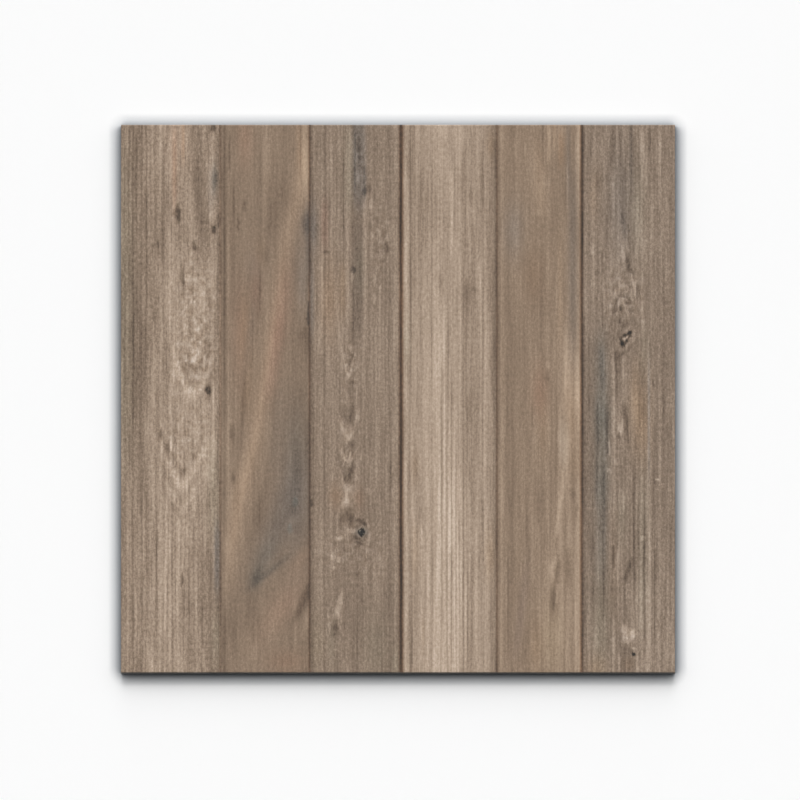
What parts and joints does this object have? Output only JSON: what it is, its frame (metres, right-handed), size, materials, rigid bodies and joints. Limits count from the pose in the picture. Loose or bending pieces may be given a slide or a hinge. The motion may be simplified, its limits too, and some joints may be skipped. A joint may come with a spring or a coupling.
{
  "type": "wood look porcelain tile",
  "caption": "Square rectified porcelain floor tile with a matt wood look face of side-by-side boards and a ribbed bedding face.",
  "frame": {"origin": "centre of the bedding face, on the plane of the rib crests that the tile rests on", "axes": "+Z out of the wear face, +X across the boards from board 1 to board 6, +Y along the boards"},
  "size_m": [0.597, 0.597, 0.0095],
  "materials": {
    "porcelain": "matt"
  },
  "bodies": {
    "root": {"porcelain_tile": "porcelain"}
  },
  "joints": []
}
